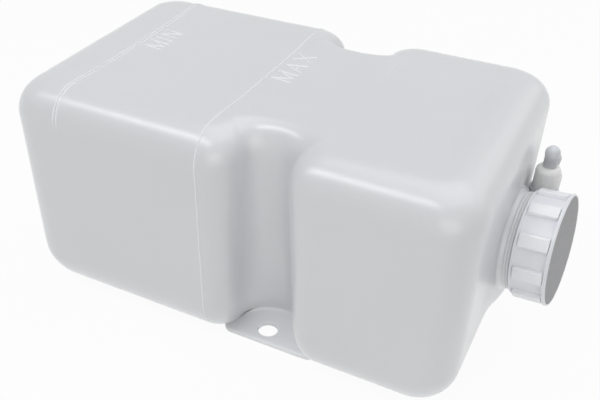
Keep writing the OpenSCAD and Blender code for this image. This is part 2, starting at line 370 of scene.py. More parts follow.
def soften(bm: BMesh, radius: float, sharper_than: float = 40.0, segments: int = 3) -> None:
    """Rounds the edges that fold more sharply than an angle in degrees."""
    limit = math.radians(sharper_than)
    sharp = [e for e in bm.edges if len(e.link_faces) == 2 and e.calc_face_angle() > limit]
    bmesh.ops.bevel(
        bm,
        geom=sharp,
        offset=radius,
        offset_type="OFFSET",
        affect="EDGES",
        segments=segments,
        profile=0.5,
        material=-1,
        clamp_overlap=True,
    )


def seal_ends(bm: BMesh) -> None:
    """Fills a mesh's open ends and turns its faces outwards."""
    bmesh.ops.holes_fill(bm, edges=[e for e in bm.edges if e.is_boundary], sides=0)
    close(bm)


def loft(rings: Iterable[list[Vector]]) -> BMesh:
    """Extrudes a loop of edges from ring to ring.

    Args:
        rings: Places of the loop's vertices at each step, all of one length.

    Returns:
        The open mesh, with any coincident vertices of its first and last rings merged.
    """
    rings = iter(rings)
    start = next(rings)
    bm = bmesh.new()
    station = bm.verts.layers.int.new("station")
    bmesh.ops.create_circle(bm, cap_ends=False, segments=len(start), radius=1.0)
    bm.verts.ensure_lookup_table()
    for index, vert in enumerate(bm.verts):
        vert[station] = index
        vert.co = start[index]
    edges = bm.edges[:]
    for ring in rings:
        grown = bmesh.ops.extrude_edge_only(bm, edges=edges)["geom"]
        fresh = {g for g in grown if isinstance(g, BMVert)}
        for vert in fresh:
            vert.co = ring[vert[station]]
        edges = [g for g in grown if isinstance(g, BMEdge) and set(g.verts) <= fresh]
    close(bm)
    return bm


def helix(section: list[Point], pitch: float, turns: float, steps: int = 72) -> BMesh:
    """Winds a closed section round Z into a screw thread.

    Args:
        section: Corners as (radius, height), in order.
        pitch: Rise of one turn.
        turns: Number of turns.
        steps: Number of stretches in one turn.

    Returns:
        The closed thread.
    """
    bm = bmesh.new()
    bmesh.ops.spin(
        bm,
        geom=wire(bm, section, True),
        cent=(0, 0, 0),
        axis=(0, 0, 1),
        dvec=(0, 0, pitch / steps),
        angle=math.tau * turns,
        steps=round(turns * steps),
    )
    seal_ends(bm)
    return bm


def section_angles() -> list[float]:
    """Angles of the corners of a raised line's round section."""
    return [math.tau * i / SECTION_SIDES for i in range(SECTION_SIDES)]


def bar(a: Vector, b: Vector, normal: Vector, width: float, height: float) -> BMesh:
    """Lays a round-ended raised bar from a to b.

    Args:
        a: Its first end.
        b: Its last end.
        normal: Direction in which it stands proud.
        width: Its width.
        height: How far it stands proud.

    Returns:
        The closed bar, whose lower half lies under the surface.
    """
    along = (b - a).normalized()
    across = normal.cross(along).normalized()
    radius = width / 2
    length = (b - a).length
    stations = [(-radius * math.cos(t), math.sin(t)) for t in (0.02, 0.4, 0.8, 1.2)]
    stations += [(0.0, 1.0), (length / 2, 1.0), (length, 1.0)]
    stations += [(length + radius * math.cos(t), math.sin(t)) for t in (1.2, 0.8, 0.4, 0.02)]
    section = [across * math.cos(t) * radius + normal * math.sin(t) * height for t in section_angles()]
    bm = loft([a + along * at + corner * size for corner in section] for at, size in stations)
    seal_ends(bm)
    return bm


def carved(body: BMesh, cutters: Iterable[BMesh]) -> BMesh:
    """Cuts closed meshes out of a closed mesh, and frees them all.

    Args:
        body: The mesh that is cut.
        cutters: The meshes that are taken from it.

    Returns:
        The cut mesh.
    """
    made = []
    for index, bm in enumerate([body, *cutters]):
        name = f"carving_{index}"
        made.append(added(name, as_mesh(name, bm)))
    for cutter in made[1:]:
        step = made[0].modifiers.new(cutter.name, "BOOLEAN")
        step.operation = "DIFFERENCE"
        step.solver = "MANIFOLD"
        step.object = cutter
    whole = bmesh.new()
    whole.from_object(made[0], bpy.context.evaluated_depsgraph_get())
    for obj in made:
        mesh = obj.data
        bpy.data.objects.remove(obj)
        bpy.data.meshes.remove(mesh)
    return whole


def joined(parts: Iterable[BMesh]) -> BMesh:
    """Puts several meshes in one, and frees them."""
    whole = bmesh.new()
    for part in parts:
        mesh = as_mesh("part", part)
        whole.from_mesh(mesh)
        bpy.data.meshes.remove(mesh)
    return whole


def piece(
    name: str,
    bm: BMesh,
    finish: MouldedPlastic,
    body: Body,
    replaces: Iterable[str] = (),
    crease: float = 35.0,
    others: Iterable[MouldedPlastic] = (),
) -> None:
    """Makes an object from a mesh, dresses it and sets it on its body.

    Args:
        name: Name of the piece.
        bm: Its mesh, in the frame's own place. It is freed.
        finish: Its finish.
        body: The body that it moves with.
        replaces: CAD nodes that it stands for.
        crease: Angle in degrees beyond which an edge stays crisp.
        others: Finishes of the faces whose material index is 1 or more.
    """
    for face in bm.faces:
        face.smooth = True
    limit = math.radians(crease)
    for edge in bm.edges:
        edge.smooth = len(edge.link_faces) != 2 or edge.calc_face_angle() < limit
    mesh = as_mesh(name, bm)
    for one in (finish, *others):
        mesh.materials.append(one.material())
    obj = added(name, mesh)
    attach(obj, body.value)
    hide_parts(*replaces)
    log.info("%s: %d faces, on body %s", name, len(mesh.polygons), body.value)


# Sub-assemblies


@dataclass
class TankForm:
    """The blow-moulded form: a rounded box with a channel at its front and one at its back."""

    length: float = 270 * MM
    width: float = 165 * MM
    height: float = 143 * MM
    wall: float = 2.8 * MM
    corner_radius: float = 20 * MM
    top_edge_radius: float = 19 * MM
    bottom_edge_radius: float = 33 * MM
    top_sink: float = 1.4 * MM
    channel_x: float = 22.5 * MM
    channel_depth: Point = (42 * MM, 24.5 * MM)
    channel_width: Point = (41 * MM, 27 * MM)
    shoulder_radius: float = 16 * MM
    draw_share: Point = (0.2, 0.7)
    neck_y: float = 7.3 * MM
    neck_z: float = 71.8 * MM
    neck_rise: float = 5.5
    neck_swing: float = 4.0
    swell: float = 3.2 * MM
    swell_radius: Point = (31 * MM, 46 * MM)
    ports_from: Point = (14 * MM, 30 * MM)
    corner_steps: int = 10
    shoulder_steps: int = 10
    floor_steps: int = 36
    run_steps: int = 10
    end_steps: int = 44
    edge_steps: int = 14
    wall_steps: int = 32
    face_steps: int = 16

    @property
    def end_x(self) -> float:
        """Place of the end wall that carries the neck."""
        return self.length / 2

    def outline(self, inset: float, z: float, shell: float) -> list[Point]:
        """Plan outline at one height, counter-clockwise from above.

        Args:
            inset: How far the edge rounding has drawn the outline in.
            z: The height.
            shell: How far inside the outer skin the outline lies.

        Returns:
            The outline's points, the same number at each height.
        """
        hx = self.length / 2 - inset - shell
        hy = self.width / 2 - inset - shell
        r = max(self.corner_radius - inset * 0.5 - shell, 2 * MM)
        channel = self._channel(inset, z, shell)
        front = arc((-hx + r, -hy + r), r, 180, 270, self.corner_steps)
        front += run(front[-1], channel[0], self.run_steps) + channel
        corner = arc((hx - r, -hy + r), r, 270, 360, self.corner_steps)
        front += run(front[-1], corner[0], self.run_steps) + corner
        back = [(x, -y) for x, y in reversed(front)]
        right = run(front[-1], back[0], self.end_steps)
        left = run(back[-1], front[0], self.run_steps)
        return front + right + back + left

    def _channel(self, inset: float, z: float, shell: float) -> list[Point]:
        """The front channel's part of the outline, from left to right."""
        t = z / self.height
        draw = inset * mix(*self.draw_share, t) + shell
        half = mix(*self.channel_width, t) / 2 + draw
        depth = mix(*self.channel_depth, t)
        r = max(self.shoulder_radius - inset * 0.3 - shell, 2.5 * MM)
        face = -self.width / 2 + inset + shell
        floor_y = -self.width / 2 + depth + draw
        centre_y = max(floor_y - half, face + r)
        squash = (floor_y - centre_y) / half
        left = arc((self.channel_x - half - r, face + r), r, -90, 0, self.shoulder_steps)
        swing = 180 / self.floor_steps
        floor = [
            (self.channel_x + x, centre_y + y * squash)
            for x, y in arc((0, 0), half, 180 - swing, swing, self.floor_steps - 2)
        ]
        right = arc((self.channel_x + half + r, face + r), r, 180, 270, self.shoulder_steps)
        return left + floor + right

    def channel_at(self, z: float) -> list[Point]:
        """The front channel's outline at a height within the bottom edge's rounding."""
        low = self.bottom_edge_radius
        inset = low - math.sqrt(low * low - (low - z) ** 2)
        return self._channel(inset, z, 0.0)

    def levels(self, shell: float) -> list[Point]:
        """Steps of the skin as (inset, height), from the lower face to the upper one."""
        low = self.bottom_edge_radius - shell
        top = self.top_edge_radius - shell
        foot = [(low + x, shell + low + y) for x, y in arc((0, 0), low, 270, 180, self.edge_steps)]
        peak = self.height - shell - top
        crown = [(top + x, peak + y) for x, y in arc((0, 0), top, 180, 90, self.edge_steps)]
        return foot + run(foot[-1], crown[0], self.wall_steps) + crown

    def dish(self, t: float) -> float:
        """How far the upper face has sunk, from its edge, where t is 0, to its middle line, where t is 1."""
        return self.top_sink * smoothstep(t / 0.6)

    def skin(self, shell: float) -> BMesh:
        """Lofts the closed skin that lies shell inside the outer one.

        Args:
            shell: Distance inside the outer skin.

        Returns:
            The closed skin.
        """
        levels = self.levels(shell)
        rings = []
        for step in range(self.face_steps, 0, -1):
            rings.append(self._face_ring(levels[0], shell, step / self.face_steps, 0.0))
        for inset, z in levels:
            rings.append([Vector((x + self._bulge(x, y, z), y, z)) for x, y in self.outline(inset, z, shell)])
        for step in range(1, self.face_steps + 1):
            t = step / self.face_steps
            rings.append(self._face_ring(levels[-1], shell, t, self.dish(t)))
        return loft(rings)

    def _bulge(self, x: float, y: float, z: float) -> float:
        """How far the end wall swells out at a point, round the neck and away from the ports."""
        if x < self.length / 2 - self.corner_radius / 2:
            return 0.0
        inner, outer = self.swell_radius
        away = math.hypot(y - self.neck_y, z - self.neck_z)
        share = smoothstep((outer - away) / (outer - inner))
        share *= 1 - smoothstep((y - self.ports_from[0]) / (self.ports_from[1] - self.ports_from[0]))
        lean = (self.neck_z - z) * math.tan(math.radians(self.neck_rise))
        lean += (y - self.neck_y) * math.tan(math.radians(self.neck_swing))
        return share * max(self.swell + lean, 0.0)

    def _face_ring(self, level: Point, shell: float, t: float, sunk: float) -> list[Vector]:
        """A ring within a flat face, from its edge, where t is 0, to its middle line, where t is 1."""
        inset, z = level
        still = self.length / 4
        points = []
        for x, y in self.outline(inset, z, shell):
            over = max(abs(x) - still, 0.0)
            points.append(Vector((x - math.copysign(over * 0.5 * t, x), y * (1 - t), z - sunk)))
        return points


class Drape:
    """Finds places on the tank's skin."""

    def __init__(self, skin: BMesh) -> None:
        """Keeps a search tree of the skin."""
        self.tree = BVHTree.FromBMesh(skin)

    def hit(self, origin: Vector, direction: Vector) -> tuple[Vector, Vector]:
        """Place and outward direction where a ray first meets the skin.

        Args:
            origin: Start of the ray.
            direction: Its direction.

        Returns:
            The place on the skin and the skin's normal there.
        """
        place, normal, _, _ = self.tree.ray_cast(origin, direction)
        if normal.dot(direction) > 0:
            normal = -normal
        return place, normal

    def top(self, x: float, y: float) -> Vector:
        """Place on the upper face."""
        return self.hit(Vector((x, y, 1.0)), Vector((0, 0, -1)))[0]


@dataclass
class LevelRidge:
    """Raised lines, as (offset, height), over the upper face, and down the front where full is true."""

    form: TankForm
    x: float
    lines: tuple[Point, ...]
    full: bool
    width: float = 1.0 * MM
    least_rise: float = 0.02 * MM
    fade_steps: int = 4
    end_share: float = 0.4

    def mesh(self, drape: Drape) -> BMesh:
        """Sweeps the ridge's fine lines over the skin.

        Args:
            drape: The skin that they lie on.

        Returns:
            The closed lines.
        """
        return joined(self._line(drape, self.x + offset, height) for offset, height in self.lines)

    def _line(self, drape: Drape, x: float, height: float) -> BMesh:
        """Sweeps one line's round section over the skin."""
        path = [drape.hit(origin, aim) for origin, aim in self._rays(x)]
        angles = section_angles()
        rings = []
        for index, (place, normal) in enumerate(path):
            along = path[min(index + 1, len(path) - 1)][0] - path[max(index - 1, 0)][0]
            across = normal.cross(along).normalized()
            fade = smoothstep(min(index, len(path) - 1 - index) / self.fade_steps)
            up = normal * (height * fade + self.least_rise)
            side = across * (self.width / 2) * mix(self.end_share, 1.0, fade)
            rings.append([place + side * math.cos(a) + up * math.sin(a) for a in angles])
        bm = loft(rings)
        seal_ends(bm)
        return bm

    def _rays(self, x: float) -> list[tuple[Vector, Vector]]:
        """Rays that meet the skin in the ridge's plane, from the back edge to the front one."""
        form = self.form
        edge = form.width / 2 - form.top_edge_radius
        crown = form.height - form.top_edge_radius
        rays = []

        def towards(y: float, z: float, start: float, end: float, steps: int) -> None:
            """Adds rays that meet a rounding along its radii."""
            for cy, cz in arc((0, 0), 1.0, start, end, steps):
                start_at = Vector((x, y + RAY_START * cy, z + RAY_START * cz))
                rays.append((start_at, Vector((0, -cy, -cz))))

        towards(edge, crown, 5, 90, 14)
        for step in range(1, 40):
            rays.append((Vector((x, mix(edge, -edge, step / 40), RAY_START * 2)), Vector((0, 0, -1))))
        towards(-edge, crown, 90, 180, 16)
        if self.full:
            low = form.bottom_edge_radius
            for step in range(1, 20):
                rays.append((Vector((x, -RAY_START * 2, mix(crown, low, step / 20))), Vector((0, 1, 0))))
            towards(-form.width / 2 + low, low, 180, 225, 10)
        return rays


class Stroke(Enum):
    """The two weights of a moulded letter's strokes, as a share of the letter's height."""

    STEM = 0.13
    HAIR = 0.1


LETTERS: dict[str, tuple[float, tuple[tuple[Point, Point, Stroke], ...]]] = {
    "M": (1.0, (
        ((0.0, 0.0), (0.0, 1.0), Stroke.HAIR), ((0.0, 1.0), (0.45, 0.05), Stroke.STEM),
        ((0.45, 0.05), (0.9, 1.0), Stroke.HAIR), ((0.9, 1.0), (0.9, 0.0), Stroke.STEM),
    )),
    "A": (0.95, (
        ((0.0, 0.0), (0.42, 1.0), Stroke.HAIR), ((0.42, 1.0), (0.84, 0.0), Stroke.STEM),
        ((0.17, 0.36), (0.67, 0.36), Stroke.HAIR),
    )),
    "X": (0.85, (((0.0, 0.0), (0.72, 1.0), Stroke.HAIR), ((0.0, 1.0), (0.76, 0.0), Stroke.STEM))),
    "I": (0.3, (((0.1, 0.0), (0.1, 1.0), Stroke.STEM),)),
    "N": (0.95, (
        ((0.0, 0.0), (0.0, 1.0), Stroke.HAIR), ((0.0, 1.0), (0.75, 0.0), Stroke.STEM),
        ((0.75, 0.0), (0.75, 1.0), Stroke.HAIR),
    )),
}


@dataclass
class LevelWord:
    """A plain raised word that reads across the tank beside its level line, with its feet towards +X."""

    word: str
    foot: Point
    length: float
    letter_height: float
    gap: float = 0.32
    slant: float = 0.12
    rise: float = 0.45 * MM

    def mesh(self, drape: Drape) -> BMesh:
        """Lays the word's strokes on the upper face.

        Args:
            drape: The skin that they lie on.

        Returns:
            The letters.
        """
        spread = sum(LETTERS[letter][0] + self.gap for letter in self.word) - self.gap
        across = self.length / spread
        bars = []
        pen = 0.0
        for letter in self.word:
            advance, strokes = LETTERS[letter]
            for start, end, weight in strokes:
                a, b = (self._place(drape, pen + point[0], point[1], across) for point in (start, end))
                bars.append(bar(a, b, Vector((0, 0, 1)), weight.value * self.letter_height, self.rise))
            pen += advance + self.gap
        return joined(bars)

    def _place(self, drape: Drape, u: float, v: float, across: float) -> Vector:
        """Place on the skin of a point at u along the word and v up the letter."""
        x = self.foot[0] - v * self.letter_height
        y = self.foot[1] + u * across + v * self.slant * self.letter_height
        return drape.top(x, y)


@dataclass
class BoltLug:
    """A flat pinched lug with a bolt hole, at the foot of one channel."""

    form: TankForm
    side: Side
    thickness: float = 3.4 * MM
    rise: float = 0.4 * MM
    setback: float = 16 * MM
    bolt_x: float = 18.5 * MM
    bolt_inset: float = 26.5 * MM
    bolt_hole: float = 12 * MM
    overreach: float = 10 * MM
    corner: float = 6 * MM
    depth: float = 30 * MM
    fillet: float = 2.6 * MM
    edge_rounding: float = 0.9 * MM

    def mesh(self) -> BMesh:
        """Grows the lug outwards from the rim of its bolt hole, with a fillet to the channel's wall.

        Returns:
            The closed lug and its fillet.
        """
        bm = bmesh.new()
        bmesh.ops.create_circle(bm, cap_ends=False, segments=96, radius=self.bolt_hole / 2)
        grown = bmesh.ops.extrude_edge_only(bm, edges=bm.edges[:])["geom"]
        for vert in (g for g in grown if isinstance(g, BMVert)):
            vert.co.xy = self._rim(vert.co.xy.normalized())
        lower = bmesh.ops.extrude_face_region(bm, geom=bm.faces[:])["geom"]
        bmesh.ops.translate(
            bm, verts=[g for g in lower if isinstance(g, BMVert)], vec=(0, 0, self.thickness)
        )
        close(bm)
        soften(bm, self.edge_rounding)
        shift(bm, (self.bolt_x, self._bolt_y, self.rise))
        bm = joined([bm, self._fillet()])
        if self.side is Side.BACK:
            bmesh.ops.scale(bm, verts=bm.verts[:], vec=(1, -1, 1))
            bmesh.ops.reverse_faces(bm, faces=bm.faces[:])
        return bm

    @property
    def _bolt_y(self) -> float:
        """Place of the front bolt hole across the tank."""
        return self.bolt_inset - self.form.width / 2

    def _rim(self, away: Vector) -> Vector:
        """Point of the lug's round-cornered outline in one direction from the bolt hole."""
        half = self.form.channel_width[0] / 2 + self.overreach
        low_x = self.form.channel_x - half - self.bolt_x
        high_x = self.form.channel_x + half - self.bolt_x
        low_y = self.setback - self.bolt_inset
        near, far = 0.0, 0.12
        for _ in range(40):
            middle = (near + far) / 2
            x, y = away * middle
            dx = max(low_x + self.corner - x, x - high_x + self.corner)
            dy = max(low_y + self.corner - y, y - self.depth + self.corner)
            outside = math.hypot(max(dx, 0.0), max(dy, 0.0)) + min(max(dx, dy), 0.0) > self.corner
            near, far = (near, middle) if outside else (middle, far)
        return away * near

    def _fillet(self) -> BMesh:
        """Sweeps a hollow fillet along the foot of the channel's wall."""
        form = self.form
        top = self.rise + self.thickness
        radius = self.fillet
        section = [(-0.8 * MM, -0.8 * MM)]
        for a in map(math.radians, range(0, 91, 10)):
            section.append((radius * (1 - math.sin(a)), radius * (1 - math.cos(a))))
        outlines = {up: form.channel_at(top + up) for _, up in section}
        foot = outlines[section[0][1]]
        inside = range(form.shoulder_steps + 1, len(foot) - form.shoulder_steps - 1)
        rings = []
        for index in inside:
            fade = mix(0.15, 1.0, smoothstep(min(index - inside[0], inside[-1] - index) / 8))
            ring = []
            for off, up in section:
                line = outlines[up]
                along = Vector(line[index + 1]) - Vector(line[index - 1])
                inward = Vector((along.y, -along.x)).normalized()
                place = Vector(line[index]) + inward * off * fade
                ring.append(Vector((place.x, place.y, top + up * fade)))
            rings.append(ring)
        bm = loft(rings)
        seal_ends(bm)
        return bm


@dataclass
class FillerNeck:
    """The filler neck on the end wall, with its collar, rings, thread and mouth."""

    form: TankForm
    diameter: float = 50 * MM
    wall: float = 3.4 * MM
    length: float = 25 * MM
    swell_diameter: float = 60 * MM
    collar_diameter: float = 54 * MM
    collar_end: float = 9.7 * MM
    ring_places: tuple[float, ...] = (7.0 * MM, 8.8 * MM)
    ring_height: float = 0.65 * MM
    thread_pitch: float = 5 * MM
    thread_height: float = 1.05 * MM
    thread_start: float = 10.5 * MM
    thread_turns: float = 2.3
    plug_span: Point = (-16 * MM, 12 * MM)

    @property
    def bore(self) -> float:
        """Radius of the neck's bore."""
        return self.diameter / 2 - self.wall

    def placed(self, bm: BMesh, distance: float = 0.0) -> BMesh:
        """Turns a mesh's Z to the neck's axis, and sets it at a distance from the end wall."""
        rise = Matrix.Rotation(math.radians(90 - self.form.neck_rise), 3, "Y")
        shift(bm, (0, 0, distance))
        turn(bm, Matrix.Rotation(math.radians(-self.form.neck_swing), 3, "Z") @ rise)
        shift(bm, (self.form.end_x, self.form.neck_y, self.form.neck_z))
        return bm

    def mesh(self) -> BMesh:
        """Turns the neck and winds its thread.

        Returns:
            The neck, with its thread.
        """
        r = self.diameter / 2
        swell = self.swell_diameter / 2
        collar = self.collar_diameter / 2
        foot = -8 * MM
        blend = swell - collar - 0.2 * MM
        wall = self.form.swell
        profile = [(swell, foot), (swell, wall - 1.2 * MM), (swell - 0.1 * MM, wall - 0.2 * MM)]
        profile += arc((collar + blend, wall + blend), blend, 270, 180, 10)
        for at in self.ring_places:
            profile += [(collar, at - 0.55 * MM)]
            profile += arc((collar, at), self.ring_height, -70, 70, 6)
            profile += [(collar, at + 0.55 * MM)]
        profile += arc((collar - 0.4 * MM, self.collar_end - 0.4 * MM), 0.4 * MM, 0, 90, 3)
        profile += [(r, self.collar_end)]
        profile += arc((r - 1.2 * MM, self.length - 1.2 * MM), 1.2 * MM, 0, 90, 5)
        profile += arc((self.bore + 0.8 * MM, self.length - 0.8 * MM), 0.8 * MM, 90, 180, 4)
        profile += [(self.bore, foot)]
        return self.placed(joined([revolve(profile, 128), self._thread()]))

    def plug(self) -> BMesh:
        """The bore's own space, with which the end wall is opened.

        Returns:
            The closed cylinder.
        """
        r = self.bore + 0.2 * MM
        low, high = self.plug_span
        return self.placed(revolve([(0.0, low), (r, low), (r, high), (0.0, high)]))

    def _thread(self) -> BMesh:
        """Winds the neck's thread."""
        r = self.diameter / 2
        crest = r + self.thread_height
        section = [
            (r - 0.6 * MM, -1.5 * MM),
            (r, -1.2 * MM),
            (crest - 0.2 * MM, -0.55 * MM),
            (crest, -0.35 * MM),
            (crest, 0.35 * MM),
            (crest - 0.2 * MM, 0.55 * MM),
            (r, 1.2 * MM),
            (r - 0.6 * MM, 1.5 * MM),
        ]
        thread = helix(section, self.thread_pitch, self.thread_turns)
        shift(thread, (0, 0, self.thread_start))
        return thread


@dataclass
class FillerCap:
    """The screw cap, with grip ribs, an end rim and its own thread."""

    neck: FillerNeck
    face: float = 30 * MM
    diameter: float = 62 * MM
    length: float = 20 * MM
    plate: float = 2.6 * MM
    rib_height: float = 2.6 * MM
    rib_width: float = 7.8 * MM
    rib_count: int = 10
    rib_rounding: float = 0.6 * MM
    rib_span: Point = (2.2 * MM, 17.8 * MM)
    rim_length: float = 1.8 * MM
    chamfer: float = 0.5 * MM
    bore: float = 26.4 * MM
    thread_start: float = 3 * MM
    thread_turns: float = 2.0

    def mesh(self) -> BMesh:
        """Turns the cap and sets its ribs and thread.

        Returns:
            The cap.
        """
        parts = [self._shell(), self._thread()]
        for index in range(self.rib_count):
            parts.append(self._rib((index + 0.5) * math.tau / self.rib_count))
        return self.neck.placed(joined(parts), self.face - self.length)

    def _shell(self) -> BMesh:
        """Turns the skirt, rim and plate."""
        end = self.length
        outer = self.diameter / 2
        skirt = outer - self.rib_height
        face = outer - self.chamfer
        low = end - self.rim_length
        profile = [(0.0, end - 0.25 * MM), (face - 0.5 * MM, end - 0.25 * MM)]
        profile += [(face - 0.3 * MM, end), (face, end)]
        profile += [(outer, end - self.chamfer), (outer, low), (skirt, low - 0.5 * MM)]
        profile += [(skirt, 1.7 * MM), (skirt + 0.7 * MM, 1.4 * MM), (skirt + 0.7 * MM, 0.3 * MM)]
        profile += [(skirt + 0.4 * MM, 0.0), (self.bore + 0.5 * MM, 0.0), (self.bore, 0.5 * MM)]
        profile += [(self.bore, end - self.plate), (0.0, end - self.plate)]
        bm = revolve(profile, 128)
        # Faces of the flat end take material 1, the dark painted shade; the rest keep the cap's white.
        for flat in bm.faces:
            middle = flat.calc_center_median()
            at_end = middle.z > end - 0.3 * MM
            flat.material_index = int(at_end and middle.xy.length < face - 0.5 * MM)
        return bm

    def _rib(self, angle: float) -> BMesh:
        """Bends one grip rib round the skirt at an angle."""
        outer = self.diameter / 2
        skirt = outer - self.rib_height
        sweep = self.rib_width / outer
        start, end = self.rib_span
        corners = [(skirt - 1 * MM, start), (outer, start), (outer, end), (skirt - 1 * MM, end)]
        bm = bmesh.new()
        geom = wire(bm, corners, True)
        bmesh.ops.spin(bm, geom=geom, cent=(0, 0, 0), axis=(0, 0, 1), angle=sweep, steps=6)
        seal_ends(bm)
        soften(bm, self.rib_rounding)
        turn(bm, Matrix.Rotation(angle - sweep / 2, 3, "Z"))
        # The rib's faces take material 2, the painted highlight of the ribs.
        for face in bm.faces:
            face.material_index = 2
        return bm

    def _thread(self) -> BMesh:
        """Winds the cap's own thread inside the skirt."""
        crest = self.neck.diameter / 2 + 0.35 * MM
        section = [
            (self.bore + 0.5 * MM, 1.2 * MM),
            (self.bore, 1.0 * MM),
            (crest, 0.4 * MM),
            (crest, -0.4 * MM),
            (self.bore, -1.0 * MM),
            (self.bore + 0.5 * MM, -1.2 * MM),
        ]
        thread = helix(section, self.neck.thread_pitch, self.thread_turns)
        shift(thread, (0, 0, self.thread_start))
        return thread


@dataclass
class HosePort:
    """One hose port: elbow, adaptor and dust cap."""

    form: TankForm
    label: str
    y: float
    z: float
    dust_body: Body
    reach: float = 9.4 * MM
    socket_diameter: float = 15.8 * MM
    socket_rise: float = 14.1 * MM
    socket_depth: float = 7 * MM
    stub_diameter: float = 8.4 * MM
    stub_inside: float = 9 * MM
    barrel_diameter: float = 14 * MM
    barrel_height: float = 15.2 * MM
    flange: float = 1.2 * MM
    spigot_diameter: float = 6 * MM
    dust_cap_diameter: float = 8.4 * MM
    dust_cap_height: float = 12.6 * MM
    bore: float = 2.6 * MM

    def build(self) -> None:
        """Makes the port's three pieces."""
        tank, dust_body = Body.TANK, self.dust_body
        for name, bm, finish, body, slot, node in (
            ("hose_elbow", self.elbow(), NATURAL, tank, Slot.PORT, "port_elbow"),
            ("hose_barrel", self.adaptor(), PORT_IVORY, tank, Slot.PORT, "hose_adaptor"),
            ("spigot_cover", self.dust_cap(), DUST_CAP_CLEAR, dust_body, Slot.DUST_CAP, "dust_cap"),
        ):
            piece(f"{name}_{self.label}", bm, finish, body, [f"{node}_{self.label}"])

    def _upright(self, bm: BMesh, z: float) -> BMesh:
        """Sets a mesh on the socket's axis at a height."""
        shift(bm, (self.form.end_x + self.reach, self.y, z))
        return bm

    def elbow(self) -> BMesh:
        """Turns the elbow's upright socket and its stub.

        Returns:
            The elbow.
        """
        r = self.socket_diameter / 2
        foot = -self.stub_diameter / 2 - 1 * MM
        rim = self.socket_rise + self.flange
        profile = [(0.0, foot), (r - 2.5 * MM, foot)]
        profile += arc((r - 2.4 * MM, foot + 2 * MM), 2 * MM, -80, 0, 5)
        profile += [(r - 0.4 * MM, rim - 3 * MM), (r + 0.3 * MM, rim - 2.4 * MM)]
        profile += [(r + 0.3 * MM, rim - 0.5 * MM), (r, rim)]
        well = self.barrel_diameter / 2
        seat = self.socket_rise - self.socket_depth
        profile += [(well + 0.1 * MM, rim), (well, rim - 0.2 * MM), (well, seat), (0.0, seat)]
        socket = self._upright(revolve(profile, 64), self.z)
        stub_r = self.stub_diameter / 2
        length = self.reach + self.stub_inside
        section = [(stub_r, 0.0), (stub_r, length), (self.bore, length)]
        section += [(self.bore, 0.3 * MM), (self.bore + 0.3 * MM, 0.0)]
        stub = revolve(section, 48)
        turn(stub, Matrix.Rotation(math.pi / 2, 3, "Y"))
        shift(stub, (self.form.end_x - self.stub_inside, self.y, self.z))
        return joined([socket, stub])

    def adaptor(self) -> BMesh:
        """Turns the round-shouldered barrel and its spigot.

        Returns:
            The adaptor.
        """
        r = self.barrel_diameter / 2
        s = self.spigot_diameter / 2
        top = self.socket_depth + self.barrel_height
        end = top + self.dust_cap_height - 3 * MM
        bore = self.bore - 0.6 * MM
        profile = [(bore, 0.0), (r - 0.3 * MM, 0.0), (r, 0.3 * MM)]
        profile += arc((r - 3.4 * MM, top - 3.4 * MM), 3.4 * MM, 0, 90, 10)
        profile += [(s + 0.3 * MM, top), (s, top + 0.3 * MM), (s, top + 3 * MM)]
        profile += [(s + 0.5 * MM, top + 3.6 * MM), (s, top + 6 * MM)]
        profile += [(s, end - 0.5 * MM), (s - 0.5 * MM, end), (bore, end)]
        return self._upright(revolve(profile, 64), self.z + self.socket_rise - self.socket_depth)

    def dust_cap(self) -> BMesh:
        """Turns the closed thimble with its domed tip.

        Returns:
            The dust cap.
        """
        r = self.dust_cap_diameter / 2
        top = self.dust_cap_height - 0.3 * MM
        bore = self.spigot_diameter / 2 + 0.6 * MM
        inner_top = self.dust_cap_height - 3 * MM + 0.4 * MM
        profile = [(bore, 0.0), (r - 0.4 * MM, 0.0), (r - 0.3 * MM, 0.3 * MM), (r - 0.45 * MM, 2 * MM)]
        profile += [(r - 0.4 * MM, top - r - 3 * MM), (r - 0.15 * MM, top - r - 1.2 * MM)]
        profile += arc((0.0, top - r), r, 0, 90, 12)[:-1] + [(0.0, top)]
        profile += [(0.0, inner_top), (bore - 0.5 * MM, inner_top), (bore, inner_top - 0.5 * MM)]
        bm = revolve(profile, 64)
        return self._upright(bm, self.z + self.socket_rise + self.barrel_height + 0.3 * MM)


